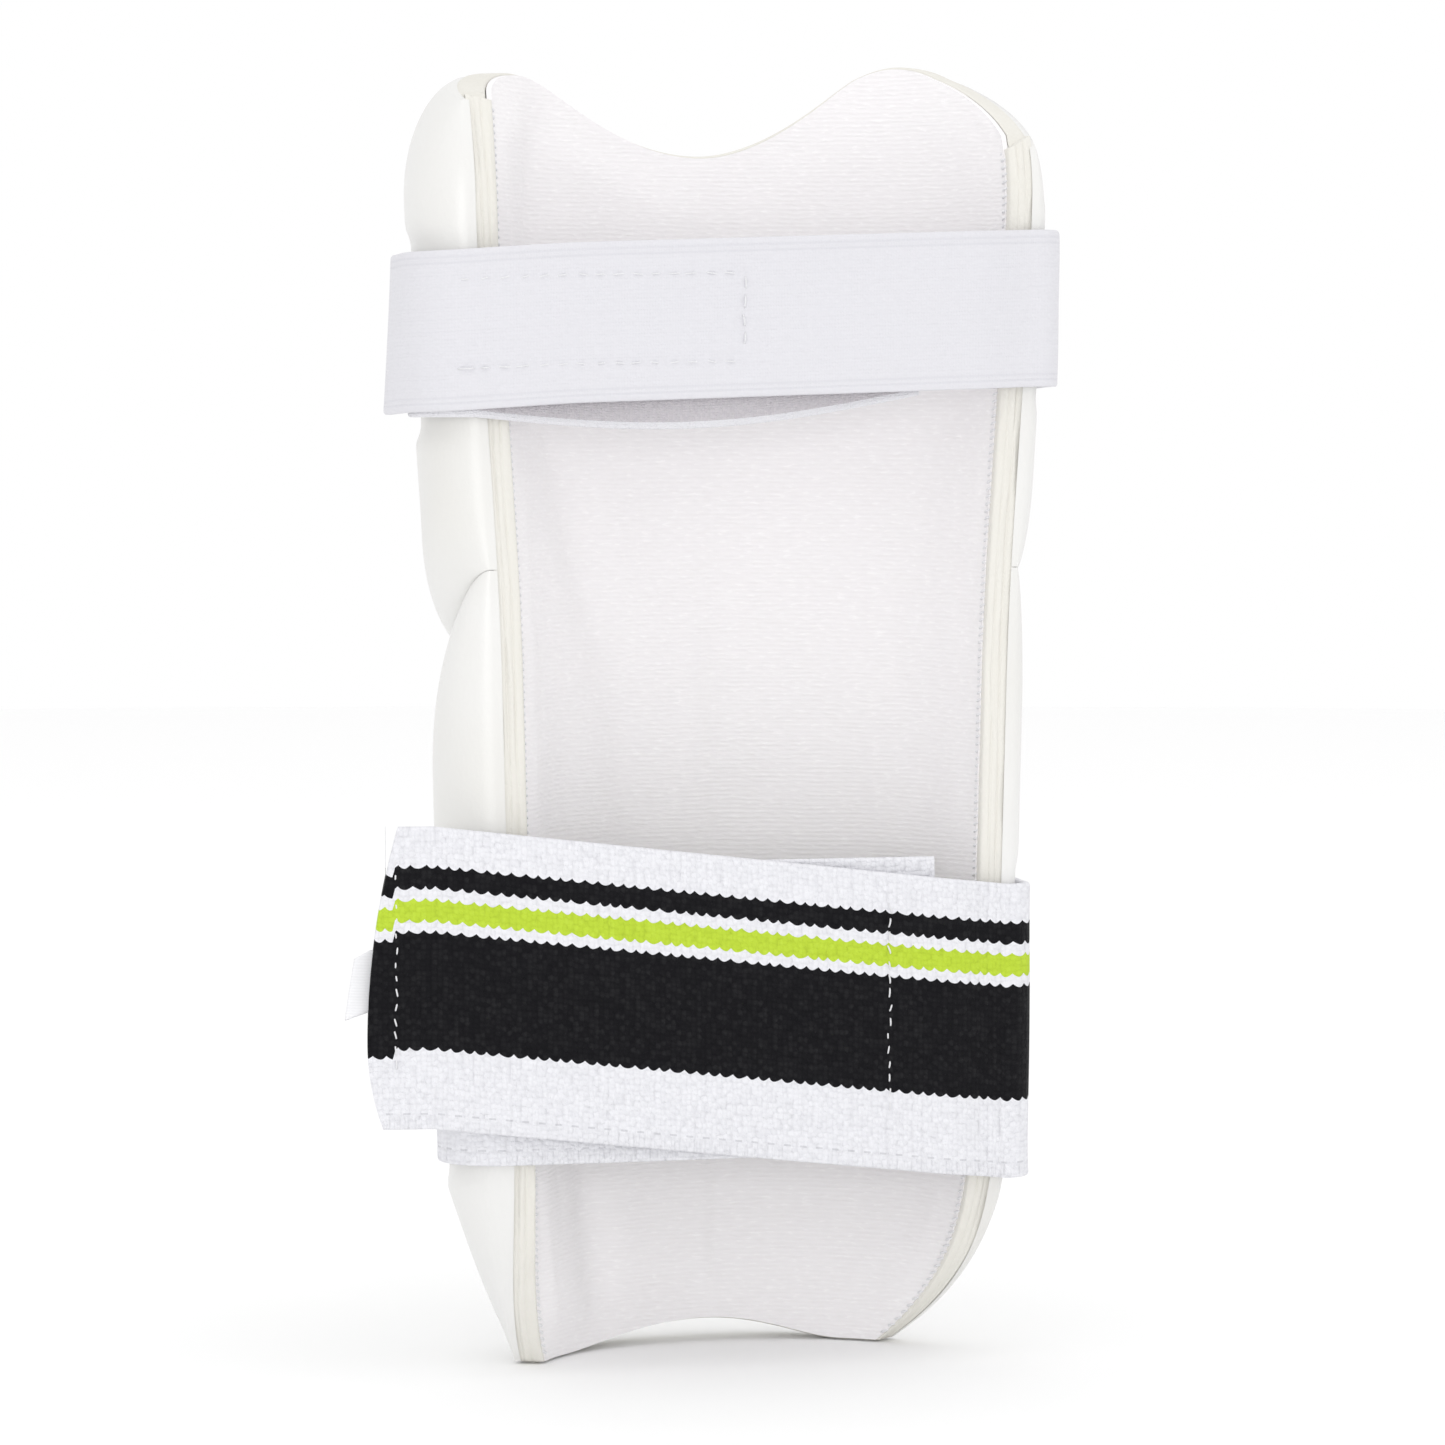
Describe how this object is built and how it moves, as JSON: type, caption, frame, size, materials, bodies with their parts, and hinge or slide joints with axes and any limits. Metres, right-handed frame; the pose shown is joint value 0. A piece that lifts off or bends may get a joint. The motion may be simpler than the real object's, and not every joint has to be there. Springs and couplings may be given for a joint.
{
  "type": "forearm guard",
  "caption": "Trough-shaped padded forearm and elbow guard for batting, with a moulded foam shell, a soft knit lining and elastic straps that close with hook and loop.",
  "frame": {"origin": "under the middle of the bounding box, on the plane that the wrist end stands on", "axes": "+Z along the forearm from the wrist end to the elbow end; -Y is the open side that the straps cross; +X is the rim that the strap closures are sewn behind"},
  "size_m": [0.1714, 0.0802, 0.303],
  "materials": {
    "knit_lining": "matte",
    "comfort_foam": "matte",
    "moulded_skin": "satin",
    "flex_web": "matte",
    "foam_core": "matte",
    "insert_plate": "satin",
    "edge_foam": "matte",
    "upper_webbing": "matte",
    "lower_webbing": "matte",
    "stitching": "matte",
    "hook_patch": "matte",
    "size_label": "matte"
  },
  "bodies": {
    "guard": {"comfort_foam": "comfort_foam", "elbow_end_band": "edge_foam", "elbow_front_foam": "foam_core", "elbow_insert_plate": "insert_plate", "elbow_left_foam": "foam_core", "elbow_right_foam": "foam_core", "elbow_skin": "moulded_skin", "flex_web": "flex_web", "forearm_front_foam": "foam_core", "forearm_insert_plate": "insert_plate", "forearm_left_foam": "foam_core", "forearm_right_foam": "foam_core", "forearm_skin": "moulded_skin", "knit_lining": "knit_lining", "left_rim_band": "edge_foam", "lower_band": "lower_webbing", "lower_left_tack": "stitching", "lower_right_tack": "stitching", "right_rim_band": "edge_foam", "upper_band": "upper_webbing", "upper_left_tack": "stitching", "upper_right_tack": "stitching", "wrist_end_band": "edge_foam"},
    "upper_closure": {"upper_closure": "upper_webbing", "upper_hook_patch": "hook_patch", "upper_end_hem": "upper_webbing"},
    "upper_loop_tab": {"upper_loop_tab": "upper_webbing"},
    "lower_closure": {"lower_closure": "lower_webbing", "lower_hook_patch": "hook_patch", "lower_end_hem": "lower_webbing", "size_label": "size_label"},
    "lower_loop_tab": {"lower_loop_tab": "lower_webbing"}
  },
  "joints": [
    {"name": "upper_closure_hinge", "type": "hinge", "parent": "guard", "child": "upper_closure", "pos_m": [0.0857, -0.01826, 0.2455], "axis": [0, 0, 1], "range_deg": [0, 110]},
    {"name": "upper_loop_tab_hinge", "type": "hinge", "parent": "guard", "child": "upper_loop_tab", "pos_m": [-0.06831, -0.01646, 0.2385], "axis": [0, 0, 1], "range_deg": [-22, 0]},
    {"name": "lower_closure_hinge", "type": "hinge", "parent": "guard", "child": "lower_closure", "pos_m": [0.07903, -0.0194, 0.0769], "axis": [0, 0, 1], "range_deg": [0, 110]},
    {"name": "lower_loop_tab_hinge", "type": "hinge", "parent": "guard", "child": "lower_loop_tab", "pos_m": [-0.06176, -0.01762, 0.0837], "axis": [0, 0, 1], "range_deg": [-22, 0]}
  ],
  "couplings": [
    {"joint": "upper_loop_tab_hinge", "follows": "upper_closure_hinge", "ratio": -0.2},
    {"joint": "lower_loop_tab_hinge", "follows": "lower_closure_hinge", "ratio": -0.2}
  ]
}
